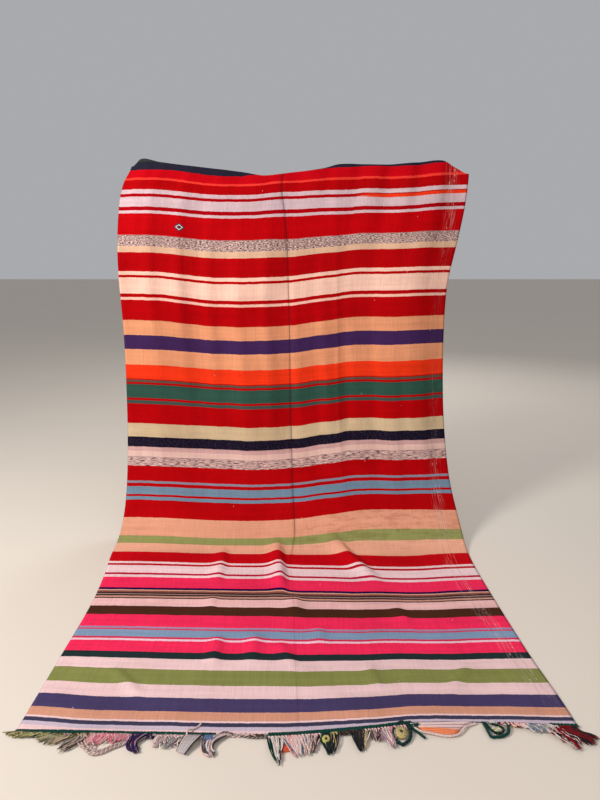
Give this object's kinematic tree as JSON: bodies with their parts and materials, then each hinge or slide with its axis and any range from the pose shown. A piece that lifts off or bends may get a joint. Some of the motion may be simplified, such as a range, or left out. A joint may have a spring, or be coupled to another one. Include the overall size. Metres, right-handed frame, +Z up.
{
  "type": "kilim rug",
  "caption": "Striped flat-woven wool rug hung over a hidden line, its lower length curving forward to lie on the floor, with a fringed near end.",
  "frame": {"origin": "on the floor, under the middle of the rug's box", "axes": "+Z up, -Y towards the fringed near end and the viewer, +X along the width to the viewer's right"},
  "size_m": [1.5894, 1.4888, 1.626],
  "materials": {
    "woven_wool": "matt weft-faced wool flat weave, striped across the width in reds, cream, peach, purple, green, blue, hot pink and brown",
    "green_cord": "matt twined wool cord, dark green, worn to its pale core in places",
    "fringe_yarn": "matt twisted wool yarn in mixed faded colours"
  },
  "bodies": {
    "root": {"rug_cloth": "woven_wool", "edge_cord": "green_cord", "fringe": "fringe_yarn"}
  },
  "joints": []
}
